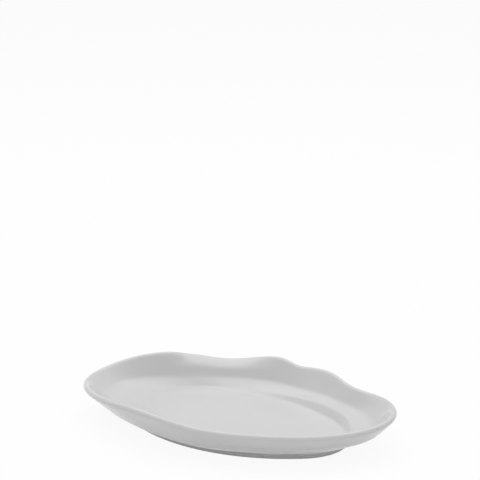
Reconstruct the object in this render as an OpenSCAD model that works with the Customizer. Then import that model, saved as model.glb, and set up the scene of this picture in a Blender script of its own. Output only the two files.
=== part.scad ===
// Oval serving plate with a wavy rim: a fired clay body on an oval foot ring, glazed but for its seat.
// Millimetres, +Z up. The origin lies on the table, under the middle of the plate's plan.
// Angles round the plate are counted from the right end (+X) towards the back (+Y).

/* [Rim] */
// Length of the oval that the outer edge of the rim follows
rim_l = 305; // [270:1:340]
// Width of that oval
rim_w = 187; // [170:1:220]
// Shift of the oval's middle from the plan's middle, along X and Y
rim_shift = [0.5, -2]; // [-10:0.5:10]
// Height of the wall's top edge above the table, between the waves
rim_h = 34; // [28:0.5:44]
// Thickness of the rounded lip
lip_t = 5.6; // [4:0.1:7]
// Slope of the wall between the waves
rim_slope = 43; // [35:1:60]

/* [Waves: angle, spread, rise, flare, added slope] */
// Left end
left_end = [180, 29, -4, 1, -8]; // [-20:0.5:360]
// Tall swell at the back left
back_left_swell = [136, 30, 4.5, -6, 41]; // [-20:0.5:360]
// Dip at the pouring lip
pouring_dip = [110, 12, -3.5, -1.5, 14]; // [-20:0.5:360]
// Swell at the back
back_swell = [89, 17, 5.5, 1, 29]; // [-20:0.5:360]
// Notch beside the back swell
back_notch = [81.5, 5.5, -3.5, -2, 0]; // [-20:0.5:360]
// Swell at the back right
back_right_swell = [66, 7, 2.5, 0.5, 8]; // [-20:0.5:360]
// Long hollow before the right end
right_hollow = [52, 15, -2, -8.5, 25]; // [-20:0.5:360]
// Right end
right_end = [4, 35, 1, 0, 4]; // [-20:0.5:360]
// Swell at the front left
front_left_swell = [249, 20, 4.5, 0.5, 10]; // [-20:0.5:360]
// Dip at the middle of the front
front_dip = [273, 13, -1.5, 0, 10]; // [-20:0.5:360]
// Straighter stretch at the front right
front_right_run = [321, 30, -2, -6, 0]; // [-20:0.5:360]

/* [Pouring lip] */
// Angle of the lip's right end
spout_right = 86; // [75:1:100]
// Angle of the lip's left end
spout_left = 133; // [120:1:150]
// Turn over which the lip fades out to the right
spout_fade_right = 20; // [4:1:25]
// Turn over which it fades out to the left
spout_fade_left = 7; // [3:1:20]
// How far the rim is pulled out there
spout_out = 8.5; // [0:0.5:12]
// How far the rim drops as it is pulled out
spout_drop = 1.5; // [0:0.5:6]
// Share of the wall's height below the bend of the lip
spout_start = 0.62; // [0.2:0.01:0.85]
// Softness of that bend, as a share of the wall's height
spout_soft = 0.1; // [0.02:0.01:0.3]

/* [Well] */
// Length of the flat floor
floor_l = 203; // [170:1:230]
// Width of the flat floor
floor_w = 105; // [95:1:130]
// Width of the step round the floor
step_w = 6; // [3:0.5:10]
// Height of the step where it is lowest
step_low = 0.5; // [0:0.5:4]
// Height of the step where it is highest
step_high = 8.5; // [5:0.5:12]
// Angle where it is highest, and the spreads of that part to the right and to the left
step_peak = [33, 24, 65]; // [-20:0.5:360]
// Turn of the well's oval on the plate
well_turn = -9; // [-15:0.5:15]
// Shift of the well's middle from the plan's middle, along X and Y
well_shift = [5, 9]; // [-10:0.5:10]

/* [Wall] */
// Height above the floor where the ledge turns up into the wall
wall_foot_h = 9.5; // [6:0.5:13]
// Tightness of the bend there
bend_tight = 5; // [1:0.5:10]
// How quickly the outer wall leaves the heel: a low value keeps the lower wall thick
heel_blend = 3; // [1.5:0.1:5]
// Least thickness of the wall, as a share of the lip's
wall_least = 0.7; // [0.5:0.05:1]
// Least rise of the outer wall as it leaves the heel
heel_rise = 0.42; // [0:0.02:0.5]
// Angle and spread of the stretch where the well reaches out over the heel and it hardly rises
flat_heel = [138, 38]; // [-20:1:360]

/* [Foot] */
// Length of the foot ring
foot_l = 211; // [180:1:240]
// Width of the foot ring
foot_w = 127; // [110:1:150]
// Radius of the ring's two ends
foot_end_r = 46; // [38:1:52]
// Height of the foot ring
foot_h = 4.8; // [3:0.1:8]
// Width of the ring where it joins the body
foot_top_w = 7; // [5:0.1:10]
// Inward lean of the ring's outer face
foot_lean_out = 0.8; // [0:0.1:1.5]
// Lean of the ring's inner face
foot_lean_in = 2.2; // [0:0.1:3]
// Rounding of the seat's two edges
seat_round = 0.9; // [0.3:0.1:1.2]
// Shift of the foot's middle from the plan's middle, along X and Y
foot_shift = [2.5, 1]; // [-10:0.5:10]
// Width of the body's heel that shows outside the ring
heel_w = 2; // [1:0.1:4]

/* [Body and glaze] */
// Thickness of the body and its glaze under the floor
base_t = 3.8; // [3:0.1:6]
// Thickness of the glaze
glaze_t = 0.3; // [0.15:0.05:0.6]

/* [Hidden] */
waves = [left_end, back_left_swell, pouring_dip, back_swell, back_notch, back_right_swell, right_hollow,
    right_end, front_left_swell, front_dip, front_right_run];
up = [0, 0, 1];
floor_z = foot_h + base_t;
well_middle = [well_shift[0], well_shift[1], floor_z];
flattest = 12;
steepest = 86;
stations = 88;
crowding = 12;
step_rows = 4;
wall_rows = 11;
lip_rows = 5;
outer_rows = 9;
rows = 1 + step_rows + wall_rows + lip_rows + outer_rows;
seat_rows = 4;
cove_rows = 3;
cove = 0.7 * heel_w;

// Plain helpers
function unit(v) = v / norm(v);
function bezier(a, b, c, d, u) = a * (1 - u)^3 + 3 * b * u * (1 - u)^2 + 3 * c * u^2 * (1 - u) + d * u^3;
function conic(a, b, c, tight, u) = let (v = 2 * tight * u * (1 - u))
    ((1 - u)^2 * a + v * b + u^2 * c) / ((1 - u)^2 + v + u^2);
function ease(x) = let (c = min(1, max(0, x))) c * c * (3 - 2 * c);
function crowded(x) = (1 - cos(180 * x)) / 2;

// Stations round the plate lie closer together along the front and the wavy back than at the ends
function station(i) = let (s = 360 * i / stations) s + crowding * sin(2 * s);
angles = [for (i = [0 : stations - 1]) station(i)];

// Waves of the rim: each is a smooth hump or hollow in height and in plan, and tilts the wall under it
function turn_from(a, t) = (t - a + 540) % 360 - 180;
function swell(t, wave) = exp(-(turn_from(wave[0], t) / wave[1])^2);
function rise(t) = [for (w = waves) swell(t, w)] * [for (w = waves) w[2]];
function flare(t) = [for (w = waves) swell(t, w)] * [for (w = waves) w[3]];

function steepen(t) = [for (w = waves) swell(t, w)] * [for (w = waves) w[4]];
function slope(t) = min(steepest, max(flattest, rim_slope + steepen(t)));
function outward(t) = unit([cos(t) / rim_l, sin(t) / rim_w, 0]);

// The pouring lip pulls the upper wall outwards, above a soft bend
function spout(t) = ease((t - spout_right) / spout_fade_right) * ease((spout_left - t) / spout_fade_left);
function soft_ramp(x) = x * x / (x + spout_soft);
function spout_ramp(h) = soft_ramp(max(0, h - spout_start)) / soft_ramp(1 - spout_start);
function spout_pull(t, h) = spout(t) * spout_ramp(h) * (spout_out * outward(t) - spout_drop * up);

// Inside of the plate: floor edge, step, sloping ledge, then a bend and the wall up to the lip
function well_oval(grow, z, t) =
    let (x = (floor_l / 2 + grow) * cos(t - well_turn), y = (floor_w / 2 + grow) * sin(t - well_turn))
    [x * cos(well_turn) - y * sin(well_turn), x * sin(well_turn) + y * cos(well_turn), z] + well_middle;
function floor_edge(t) = well_oval(0, 0, t);
function step_spread(t) = turn_from(step_peak[0], t) < 0 ? step_peak[1] : step_peak[2];
function step_rise(t) = step_low + (step_high - step_low) * swell(t, [step_peak[0], step_spread(t)]);
function step_top(t) = well_oval(step_w, step_rise(t), t);
function step_out(t) = let (d = step_top(t) - floor_edge(t)) unit([d[0], d[1], 0]);
function step_point(t, u) = let (from = floor_edge(t), to = step_top(t), reach = step_w / 4)
    bezier(from, from + reach * step_out(t), to - reach * ledge(t), to, u);
function rim_oval(t) =
    [rim_shift[0] + rim_l / 2 * cos(t), rim_shift[1] + rim_w / 2 * sin(t), rim_h + rise(t)];
function wall_top(t) = rim_oval(t) + (flare(t) - lip_t) * outward(t);
function wall_foot(t) = let (top = wall_top(t), h = top[2] - floor_z - wall_foot_h)
    top - h / tan(slope(t)) * outward(t) - h * up;
function ledge(t) = unit(wall_foot(t) - step_top(t));
function wall_point(t, u) =
    let (foot = wall_foot(t), top = wall_top(t), p = conic(step_top(t), foot, top, bend_tight, u))
    p + spout_pull(t, (p[2] - foot[2]) / (top[2] - foot[2]));

// Lip: a half round over the wall's top edge, square to the way the wall runs out there
function lip_along(t) = let (d = wall_point(t, 1) - wall_point(t, crowded(1 - 1 / wall_rows)))
    unit((d * outward(t)) * outward(t) + d[2] * up);
function lip_across(t) = let (d = lip_along(t)) d[2] * outward(t) - (d * outward(t)) * up;
function lip_point(t, a) =
    wall_point(t, 1) + lip_t / 2 * ((1 - cos(a)) * lip_across(t) + sin(a) * lip_along(t));

// Foot outline: four arcs, two small ones at the ends and two large ones along the sides.
// A point of it is named by the direction that it faces, and grow moves it outwards.
foot_a = foot_l / 2;
foot_b = foot_w / 2;
end_x = foot_a - foot_end_r;
side_drop = (end_x^2 - (foot_b - foot_end_r)^2) / (2 * (foot_b - foot_end_r));
side_r = foot_b + side_drop;
end_turn = atan2(side_drop, end_x);
function facing(t) = atan2(foot_l * sin(t), foot_w * cos(t));
function on_end(f) = abs(atan2(sin(f), abs(cos(f)))) < end_turn;
function foot_point(f, grow, z) = let (d = [cos(f), sin(f), 0])
    [foot_shift[0], foot_shift[1], z]
    + (on_end(f) ? [sign(d[0]) * end_x, 0, 0] + (foot_end_r + grow) * d
        : [0, -sign(d[1]) * side_drop, 0] + (side_r + grow) * d);

// Outer wall: the inner wall set out by the lip's thickness, running in to the heel beside the foot ring
function heel_out(t) = [cos(facing(t)), sin(facing(t)), 0];
function heel(t) = foot_point(facing(t), heel_w, foot_h);
function wall_square(t, u) = let (d = wall_point(t, min(1, u + 0.05)) - wall_point(t, max(0, u - 0.05)))
    unit(d[2] * outward(t) - (d * outward(t)) * up);
function outer_set(t, u) = let (w = (1 - u)^heel_blend)
    w * (heel(t) - step_top(t)) + (1 - w) * lip_t * wall_square(t, u);
function heel_lift(t) = heel_rise * (1 - 0.9 * swell(t, flat_heel));
function thick_point(t, u) = let (set = outer_set(t, u), square = wall_square(t, u))
    wall_point(t, u) + set + max(0, wall_least * lip_t - set * square) * square;
function outer_point(t, u) = u == 0 ? heel(t)
    : let (p = thick_point(t, u), d = p - heel(t))
        [p[0], p[1], max(p[2], foot_h + heel_lift(t) * norm([d[0], d[1]]))];

// Finished section at one station, from the floor's edge over the lip to the heel
function section(t) = concat(
    [floor_edge(t)],
    [for (i = [1 : step_rows]) step_point(t, i / step_rows)],
    [for (i = [1 : wall_rows]) wall_point(t, crowded(i / wall_rows))],
    [for (i = [1 : lip_rows]) lip_point(t, 180 * i / lip_rows)],
    [for (i = [1 : outer_rows]) outer_point(t, crowded(1 - i / outer_rows))]);

// The clay under the glaze: the same section, set in by the glaze's thickness
function around(t) = unit([-rim_l * sin(t), rim_w * cos(t), 0]);
function under_glaze(s, t) = concat(
    [s[0] - glaze_t * up],
    [for (i = [1 : rows - 2]) s[i] - glaze_t * unit(cross(s[i + 1] - s[i - 1], around(t)))],
    [s[rows - 1] - 2 * glaze_t * heel_out(t)]);

outside = [for (t = angles) section(t)];
inside = [for (i = [0 : stations - 1]) under_glaze(outside[i], angles[i])];
function flat_list(grid) = [for (s = grid, p = s) p];

// Faces between two rows of a grid of sections, of a whole grid, and of the fans that close it
function next(j) = (j + 1) % stations;
function band(first, count, from, to) = [for (j = [0 : stations - 1])
    let (p = first + j * count, q = first + next(j) * count)
    each [[p + from, q + from, q + to], [p + from, q + to, p + to]]];
function grid_faces(first) = [for (i = [0 : rows - 2]) each band(first, rows, i, i + 1)];
function fan_faces(first, row, middle) =
    [for (j = [0 : stations - 1]) [middle, first + next(j) * rows + row, first + j * rows + row]];
function turned(faces) = [for (f = faces) [f[0], f[2], f[1]]];

// Fired clay body in one piece, with a flat underside that the foot ring is stuck to
module plate_body() {
    middle = stations * rows;
    color("ivory")
        polyhedron(
            concat(flat_list(inside), [well_middle - glaze_t * up, [foot_shift[0], foot_shift[1], foot_h]]),
            concat(
                grid_faces(0),
                fan_faces(0, 0, middle),
                turned(fan_faces(0, rows - 1, middle + 1))));
}

// Cross section of the foot ring, counted outwards from its outer face and up from the table.
// A cove of slip runs out from its top under the heel.
function rounded(before, corner, after) =
    let (a = corner + seat_round * unit(before - corner), b = corner + seat_round * unit(after - corner))
    [for (i = [0 : seat_rows]) let (u = i / seat_rows) a * (1 - u)^2 + 2 * corner * u * (1 - u) + b * u^2];
ring_cove = [for (i = [0 : cove_rows]) let (a = 90 * i / cove_rows)
    [cove * (1 - sin(a)), foot_h - cove * (1 - cos(a))]];
ring_top_in = [-foot_top_w, foot_h];
seat_out = [-foot_lean_out, 0];
seat_in = [foot_lean_in - foot_top_w, 0];
ring_section = concat(
    ring_cove,
    rounded(ring_cove[cove_rows], seat_out, seat_in),
    rounded(seat_out, seat_in, ring_top_in),
    [ring_top_in]);

// Oval foot ring: its flat seat is bare clay and carries the plate
module foot_ring() {
    count = len(ring_section);
    color("linen")
        polyhedron(
            [for (t = angles, p = ring_section) foot_point(facing(t), p[0], p[1])],
            [for (i = [0 : count - 1]) each band(0, count, i, (i + 1) % count)]);
}

// Glaze over the face, the lip and the outer wall, down to the heel
module glaze_coat() {
    inner = stations * rows;
    middle = 2 * inner;
    color("whitesmoke")
        polyhedron(
            concat(flat_list(outside), flat_list(inside), [well_middle, well_middle - glaze_t * up]),
            concat(
                grid_faces(0),
                fan_faces(0, 0, middle),
                turned(grid_faces(inner)),
                turned(fan_faces(inner, 0, middle + 1)),
                band(0, rows, rows - 1, inner + rows - 1)));
}

// Glaze on the underside, inside the foot ring
module base_glaze() {
    color("whitesmoke")
        translate([0, 0, foot_h - glaze_t])
            linear_extrude(glaze_t)
                polygon([for (t = angles) let (p = foot_point(facing(t), -foot_top_w, 0)) [p[0], p[1]]]);
}

plate_body();
foot_ring();
glaze_coat();
base_glaze();
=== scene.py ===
import math

import bmesh
import bpy
from mathutils import Matrix, Vector


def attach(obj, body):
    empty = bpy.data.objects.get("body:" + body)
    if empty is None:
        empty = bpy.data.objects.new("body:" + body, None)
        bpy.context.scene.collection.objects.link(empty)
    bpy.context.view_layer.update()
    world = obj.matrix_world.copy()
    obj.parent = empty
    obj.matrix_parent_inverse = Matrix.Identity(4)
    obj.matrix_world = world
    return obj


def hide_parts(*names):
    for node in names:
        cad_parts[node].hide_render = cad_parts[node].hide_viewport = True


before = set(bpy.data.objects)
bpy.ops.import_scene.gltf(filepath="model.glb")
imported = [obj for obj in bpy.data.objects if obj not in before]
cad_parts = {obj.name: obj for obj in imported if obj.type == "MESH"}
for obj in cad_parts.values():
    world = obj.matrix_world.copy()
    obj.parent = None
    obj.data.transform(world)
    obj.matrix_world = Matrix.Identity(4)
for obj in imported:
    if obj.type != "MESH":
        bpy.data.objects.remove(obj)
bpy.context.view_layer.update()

scene = bpy.context.scene
scene.view_settings.view_transform = "Standard"


# The clay body: floor, step, ledge, wall and waved rim in one piece of white porcelain clay.
# It is pressed over an oval mould, its rim is pulled into waves by hand, and it is fired once
# before it is glazed, so it shows only as a hairline under the heel.

MM = 0.001
WELD = 0.01 * MM
MANY_EDGES = 40
PLATE_INSETS = (3 * MM, 12 * MM)
ROUNDING = 2


class Finish:
    """A value or a colour in a material: arithmetic on it adds Math nodes."""

    def __init__(self, socket):
        self.socket = socket
        self.tree = socket.id_data

    def node(self, kind, settings=None, output=0, **inputs):
        """Any other node. An input is given by its name, or by its number after a low line."""
        made = self.tree.nodes.new(kind)
        for name, value in (settings or {}).items():
            setattr(made, name, value)
        for name, value in inputs.items():
            entry = made.inputs[int(name[1:]) if name[0] == "_" else name.replace("_", " ")]
            if isinstance(value, Finish):
                self.tree.links.new(value.socket, entry)
            else:
                entry.default_value = value
        return Finish(made.outputs[output])

    def maths(self, operation, left, right):
        return self.node("ShaderNodeMath", {"operation": operation}, _0=left, _1=right)

    def __add__(self, other):
        return self.maths("ADD", self, other)

    def __sub__(self, other):
        return self.maths("SUBTRACT", self, other)

    def __rsub__(self, other):
        return self.maths("SUBTRACT", other, self)

    def __mul__(self, other):
        return self.maths("MULTIPLY", self, other)

    def __truediv__(self, other):
        return self.maths("DIVIDE", self, other)

    def __pow__(self, other):
        return self.maths("POWER", self, other)

    __radd__ = __add__
    __rmul__ = __mul__

    def fade(self, low, high):
        """0 below low, 1 above high, with a soft change between them."""
        return self.node("ShaderNodeMapRange", {"interpolation_type": "SMOOTHSTEP"},
                         From_Min=low, From_Max=high, Value=self)

    def blend(self, plain, changed):
        """The plain colour where this is 0, the changed one where it is 1."""
        return self.node("ShaderNodeMix", {"data_type": "RGBA"}, output=2,
                         _0=self, _6=plain, _7=changed)


def new_material(name):
    """An empty material, its output and its object coordinates."""
    material = bpy.data.materials.new(name)
    material.use_nodes = True
    tree = material.node_tree
    tree.nodes.clear()
    output = tree.nodes.new("ShaderNodeOutputMaterial")
    place = Finish(tree.nodes.new("ShaderNodeTexCoord").outputs["Object"])
    return material, output, place


def mottle(place, scale, detail=2.0):
    """Soft cloudy variation between 0 and 1, with scale in clouds to the metre."""
    return place.node("ShaderNodeTexNoise", Vector=place, Scale=scale, Detail=detail)


def clay_surface(place):
    """Fired, unglazed porcelain clay: off-white, dry and finely grained."""
    grain = mottle(place, 2600, 3.0)
    patches = mottle(place, 90)
    colour = patches.fade(0.35, 0.7).blend((0.80, 0.78, 0.74, 1), (0.76, 0.735, 0.69, 1))
    dusted = grain.fade(0.62, 0.75).blend(colour, (0.66, 0.63, 0.58, 1))
    bump = place.node("ShaderNodeBump", Height=grain, Strength=0.6, Distance=0.06 * MM)
    return place.node("ShaderNodeBsdfPrincipled", Base_Color=dusted, Normal=bump,
                      Roughness=0.78 + 0.14 * grain)


def grid_copy(node):
    """A copy of a solid's skin whose triangles are joined into a grid that can be rounded.
    Its lowest edges, which bound the flat heel, stay sharp."""
    skin = bmesh.new()
    skin.from_mesh(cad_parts[node].data)
    bmesh.ops.remove_doubles(skin, verts=skin.verts, dist=WELD)
    hubs = [v for v in skin.verts if len(v.link_edges) > MANY_EDGES]
    bmesh.ops.dissolve_verts(skin, verts=hubs)

    def longest(face):
        return max(face.edges, key=lambda edge: edge.calc_length())

    diagonals = [e for e in skin.edges
                 if all(len(f.verts) == 3 and longest(f) == e for f in e.link_faces)]
    bmesh.ops.dissolve_edges(skin, edges=diagonals, use_verts=False)
    heel_z = min(v.co.z for v in skin.verts)
    crease = skin.edges.layers.float.new("crease_edge")
    for edge in skin.edges:
        if all(v.co.z < heel_z + WELD for v in edge.verts):
            edge[crease] = 1.0
            edge.smooth = False
    for margin in PLATE_INSETS:
        plates = [f for f in skin.faces if len(f.verts) > MANY_EDGES]
        bmesh.ops.inset_individual(skin, faces=plates, thickness=margin, use_even_offset=True)
    return skin


def finish_piece(skin, name, material, node, rounding=0):
    """Turns a bmesh into a smooth piece that stands for its solid and rides with the plate."""
    for face in skin.faces:
        face.smooth = True
    mesh = bpy.data.meshes.new(name)
    skin.to_mesh(mesh)
    skin.free()
    mesh.materials.append(material)
    piece = bpy.data.objects.new(name, mesh)
    scene.collection.objects.link(piece)
    if rounding:
        surface = piece.modifiers.new("rounding", "SUBSURF")
        surface.levels = surface.render_levels = rounding
    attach(piece, "root")
    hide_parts(node)


fired_clay, clay_output, clay_place = new_material("fired_clay")
bare_clay = clay_surface(clay_place)
fired_clay.node_tree.links.new(bare_clay.socket, clay_output.inputs["Surface"])

finish_piece(grid_copy("plate_body"), "clay_body", fired_clay, "plate_body",
             rounding=ROUNDING)


# The foot ring: an oval ring of the same clay, luted to the underside with slip before firing.
# A cove of slip joins it to the heel. Its sides are glazed, and its seat is wiped bare and sanded
# so that the plate does not stick in the kiln or scratch a table.

FOOT_MIDDLE = Vector((2.5 * MM, 1 * MM, 0))
FOOT_LENGTH, FOOT_WIDTH, END_RADIUS = 211 * MM, 127 * MM, 46 * MM
FOOT_HEIGHT, COVE, SEAT_ROUND = 4.8 * MM, 1.4 * MM, 0.9 * MM
RING_TOP, LEAN_OUT, LEAN_IN = 7 * MM, 0.8 * MM, 2.2 * MM
END_X = FOOT_LENGTH / 2 - END_RADIUS
NARROWER = FOOT_WIDTH / 2 - END_RADIUS
SIDE_DROP = (END_X ** 2 - NARROWER ** 2) / (2 * NARROWER)
END_TURN = math.atan2(SIDE_DROP, END_X)
END_STEPS, SIDE_STEPS = 36, 52
SHARP_TURN = 0.7
WHITE_GLAZE = (0.78, 0.78, 0.78, 1)


def glaze_surface(place, pooled=None, thinned=None):
    """Clear glossy glaze over white clay, with soft clouds of tone, a faint ripple, and other
    tones where it has pooled and where it has thinned."""
    clouds = mottle(place, 22)
    ripple = mottle(place, 120, 1.0)
    colour = clouds.fade(0.3, 0.75).blend(WHITE_GLAZE, (0.767, 0.767, 0.766, 1))
    if pooled is not None:
        colour = pooled.blend(colour, (0.745, 0.746, 0.745, 1))
    if thinned is not None:
        colour = thinned.blend(colour, (0.79, 0.788, 0.785, 1))
    bump = place.node("ShaderNodeBump", Height=ripple, Strength=0.35, Distance=0.12 * MM)
    return place.node("ShaderNodeBsdfPrincipled", Base_Color=colour, Normal=bump,
                      Roughness=0.12 + 0.1 * clouds)


def oval_point(outwards, height):
    """Where the oval's first arc starts, moved outwards and up."""
    facing = Vector((math.cos(END_TURN), -math.sin(END_TURN), 0))
    return FOOT_MIDDLE + Vector((END_X, 0, height)) + (END_RADIUS + outwards) * facing


def oval_sweep(section, closed):
    """A section carried round the foot's four arcs, two at the ends and two along the sides."""
    skin = bmesh.new()
    corners = [skin.verts.new(oval_point(*point)) for point in section]
    edges = [skin.edges.new(pair) for pair in zip(corners, corners[1:])]
    if closed:
        edges.append(skin.edges.new((corners[-1], corners[0])))
    moved = corners + edges
    end_sweep, side_sweep = 2 * END_TURN, math.pi - 2 * END_TURN
    for x, y, sweep, steps in ((END_X, 0, end_sweep, END_STEPS), (0, -SIDE_DROP, side_sweep, SIDE_STEPS),
                               (-END_X, 0, end_sweep, END_STEPS), (0, SIDE_DROP, side_sweep, SIDE_STEPS)):
        moved = bmesh.ops.spin(skin, geom=moved, cent=FOOT_MIDDLE + Vector((x, y, 0)), axis=(0, 0, 1),
                               angle=sweep, steps=steps)["geom_last"]
    bmesh.ops.remove_doubles(skin, verts=skin.verts, dist=WELD)
    return skin


cove_turns = [math.radians(turn) for turn in (0, 22.5, 45, 67.5, 90)]
ring_section = [(COVE * (1 - math.sin(turn)), FOOT_HEIGHT - COVE * (1 - math.cos(turn)))
                for turn in cove_turns]
ring_section += [(-LEAN_OUT, 0), (LEAN_IN - RING_TOP, 0), (-RING_TOP, FOOT_HEIGHT)]
ring_skin = oval_sweep(ring_section, closed=True)
bmesh.ops.recalc_face_normals(ring_skin, faces=ring_skin.faces)
seat_edges = [e for e in ring_skin.edges
              if all(v.co.z < WELD for v in e.verts) and e.calc_face_angle() > SHARP_TURN]
bmesh.ops.bevel(ring_skin, geom=seat_edges, offset=SEAT_ROUND, offset_type="OFFSET", affect="EDGES",
                segments=4, profile=0.5, material=-1)
for edge in ring_skin.edges:
    edge.smooth = edge.calc_face_angle() < SHARP_TURN

ring_finish, ring_output, ring_place = new_material("glazed_foot_bare_seat")
height = ring_place.node("ShaderNodeSeparateXYZ", output=2, Vector=ring_place)
wiped_line = height + (mottle(ring_place, 160) - 0.5) * (0.5 * MM)
glazed = wiped_line.fade(0.55 * MM, 0.75 * MM)
foot_finish = ring_place.node("ShaderNodeMixShader", _0=glazed, _1=clay_surface(ring_place),
                              _2=glaze_surface(ring_place))
ring_finish.node_tree.links.new(foot_finish.socket, ring_output.inputs["Surface"])
finish_piece(ring_skin, "foot_ring_turned", ring_finish, "foot_ring")


# The glaze on the underside, inside the foot ring: the same clear glaze, poured in and drained.
# It lies flat against the clay and gathers in a small fillet where it meets the ring.

GLAZE_THICK = 0.3 * MM
FILLET = 0.8 * MM
FILLET_CURVE = ((0.15 * MM, 0.22 * MM), (0.5 * MM, 0.08 * MM), (1.2 * MM, 0))
fillet_outwards = -RING_TOP + LEAN_IN * FILLET / FOOT_HEIGHT
pool_z = FOOT_HEIGHT - GLAZE_THICK
pool_section = [(-RING_TOP, FOOT_HEIGHT), (fillet_outwards, FOOT_HEIGHT - FILLET)]
pool_section += [(fillet_outwards - inwards, pool_z - below) for inwards, below in FILLET_CURVE]
pool_skin = oval_sweep(pool_section, closed=False)
bmesh.ops.holes_fill(pool_skin, edges=pool_skin.edges, sides=0)
bmesh.ops.recalc_face_normals(pool_skin, faces=pool_skin.faces)
for edge in pool_skin.edges:
    edge.smooth = edge.calc_face_angle() < SHARP_TURN

base_finish, base_output, base_place = new_material("base_glaze_white")
base_finish.node_tree.links.new(glaze_surface(base_place).socket, base_output.inputs["Surface"])
finish_piece(pool_skin, "base_glaze_pool", base_finish, "base_glaze")


# The glaze over the face, the lip and the outer wall: the plate is dipped, and the glaze melts
# into an even glossy skin. It pools a little in the corner of the step and thins over the lip.

WELL_MIDDLE, WELL_TURN = (5 * MM, 9 * MM, 0), math.radians(-9)
WELL_LENGTH, WELL_WIDTH = 203 * MM, 105 * MM
FLOOR_Z = 8.6 * MM
THIN_BEND, THIN_BEND_SPAN = 22, 10

coat_skin = grid_copy("glaze_coat")
thin = coat_skin.verts.layers.float.new("lip_thin")
for vert in coat_skin.verts:
    bend = max(edge.calc_face_angle_signed(0) for edge in vert.link_edges if edge.smooth)
    vert[thin] = min(1, max(0, (math.degrees(bend) - THIN_BEND) / THIN_BEND_SPAN))

coat_finish, coat_output, coat_place = new_material("white_glaze")
well_place = coat_place.node("ShaderNodeVectorRotate", Vector=coat_place, Center=WELL_MIDDLE,
                             Angle=-WELL_TURN)
along = coat_place.node("ShaderNodeSeparateXYZ", output=0, Vector=well_place) - WELL_MIDDLE[0]
across = coat_place.node("ShaderNodeSeparateXYZ", output=1, Vector=well_place) - WELL_MIDDLE[1]
level = coat_place.node("ShaderNodeSeparateXYZ", output=2, Vector=coat_place)
ring = ((along / (WELL_LENGTH / 2)) ** 2 + (across / (WELL_WIDTH / 2)) ** 2) ** 0.5
at_edge = ring.fade(0.955, 1.0) * (1 - ring.fade(1.01, 1.06))
corner = at_edge * (1 - level.fade(FLOOR_Z + 2 * MM, FLOOR_Z + 5 * MM))
lip = coat_place.node("ShaderNodeAttribute", {"attribute_name": "lip_thin"}, output=2)
face_glaze = glaze_surface(coat_place, pooled=corner * 0.5, thinned=lip * 0.6)
coat_finish.node_tree.links.new(face_glaze.socket, coat_output.inputs["Surface"])
finish_piece(coat_skin, "glaze_skin", coat_finish, "glaze_coat", rounding=ROUNDING)


# The studio floor: a plain white sweep that turns up far off, so that low views end on it too.
# It is white to the camera and in the glaze, and a little greyer to the light that it throws back,
# and it keeps the plate's shadow.

FLOOR_RADIUS, COVE_RADIUS, COVE_STEPS, ROUND_STEPS = 13, 3, 8, 96
UNDER_SEAT = -0.1 * MM
FLOOR_GLOW = 0.92
cove_angles = [math.pi / 2 * step / COVE_STEPS for step in range(COVE_STEPS + 1)]
sweep_profile = [(0, 0)]
sweep_profile += [(FLOOR_RADIUS + COVE_RADIUS * math.sin(turn), COVE_RADIUS * (1 - math.cos(turn)))
                  for turn in cove_angles]
sweep_skin = bmesh.new()
sweep_verts = [sweep_skin.verts.new((out, 0, up + UNDER_SEAT)) for out, up in sweep_profile]
sweep_edges = [sweep_skin.edges.new(pair) for pair in zip(sweep_verts, sweep_verts[1:])]
bmesh.ops.spin(sweep_skin, geom=sweep_verts + sweep_edges, cent=(0, 0, 0), axis=(0, 0, 1),
               angle=2 * math.pi, steps=ROUND_STEPS)
bmesh.ops.remove_doubles(sweep_skin, verts=sweep_skin.verts, dist=WELD)
for face in sweep_skin.faces:
    face.smooth = True
sweep_mesh = bpy.data.meshes.new("studio_floor")
sweep_skin.to_mesh(sweep_mesh)
sweep_skin.free()

floor_finish, floor_output, floor_place = new_material("floor_white")
seen = floor_place.node("ShaderNodeLightPath", output=0)
mirrored = floor_place.node("ShaderNodeLightPath", output=3)
lit = floor_place.node("ShaderNodeBsdfDiffuse", Color=(1, 1, 1, 1))
glowing = floor_place.node("ShaderNodeEmission", Color=(1, 1, 1, 1), Strength=1.0)
shown = floor_place.node("ShaderNodeMixShader", _0=FLOOR_GLOW, _1=lit, _2=glowing)
bounced = floor_place.node("ShaderNodeBsdfDiffuse", Color=(0.78, 0.78, 0.78, 1))
sweep = floor_place.node("ShaderNodeMixShader", _0=seen + mirrored, _1=bounced, _2=shown)
floor_finish.node_tree.links.new(sweep.socket, floor_output.inputs["Surface"])
sweep_mesh.materials.append(floor_finish)
studio_floor = bpy.data.objects.new("studio_floor", sweep_mesh)
scene.collection.objects.link(studio_floor)


# The light: an even white tent all round, and one wide soft lamp above the plate.

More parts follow.
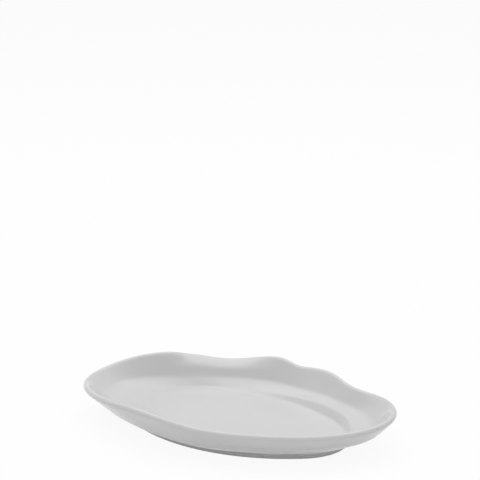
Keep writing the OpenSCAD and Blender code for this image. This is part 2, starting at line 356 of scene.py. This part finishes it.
TENT_STRENGTH = 0.53
LAMP_PLACE, LAMP_WIDTH, LAMP_POWER = (-0.2, 0.2, 1.95), 3, 22

tent = bpy.data.worlds.new("light_tent")
tent.use_nodes = True
tent_light = tent.node_tree.nodes["Background"]
tent_light.inputs["Color"].default_value = (1, 1, 1, 1)
tent_light.inputs["Strength"].default_value = TENT_STRENGTH
scene.world = tent

lamp_data = bpy.data.lights.new("soft_lamp", "AREA")
lamp_data.shape = "DISK"
lamp_data.size = LAMP_WIDTH
lamp_data.energy = LAMP_POWER
soft_lamp = bpy.data.objects.new("soft_lamp", lamp_data)
soft_lamp.location = LAMP_PLACE
soft_lamp.rotation_euler = (-soft_lamp.location).to_track_quat("-Z", "Y").to_euler()
scene.collection.objects.link(soft_lamp)


# The camera: a long lens in front of the plate, to its right and a little above.

IMAGE_SIZE = 480
LENS_PIXELS = 1500
SIGHT_TURN, SIGHT_RISE = math.radians(26.72), math.radians(14.49)
SIGHT_DISTANCE = 1.365
AIM = Vector((4.5 * MM, 1 * MM, 0))
AIM_IN_IMAGE = (241.3, 428.5)

towards = Vector((math.sin(SIGHT_TURN) * math.cos(SIGHT_RISE),
                  -math.cos(SIGHT_TURN) * math.cos(SIGHT_RISE), math.sin(SIGHT_RISE)))
rightwards = Vector((math.cos(SIGHT_TURN), math.sin(SIGHT_TURN), 0))
upwards = towards.cross(rightwards)
to_right = (AIM_IN_IMAGE[0] - IMAGE_SIZE / 2) / LENS_PIXELS * SIGHT_DISTANCE
to_top = (IMAGE_SIZE / 2 - AIM_IN_IMAGE[1]) / LENS_PIXELS * SIGHT_DISTANCE

camera_data = bpy.data.cameras.new("camera")
camera_data.sensor_width = 36
camera_data.lens = camera_data.sensor_width * LENS_PIXELS / IMAGE_SIZE
camera = bpy.data.objects.new("camera", camera_data)
camera.location = AIM + SIGHT_DISTANCE * towards - to_right * rightwards - to_top * upwards
camera.rotation_euler = Matrix((rightwards, upwards, towards)).transposed().to_euler()
scene.collection.objects.link(camera)
scene.camera = camera
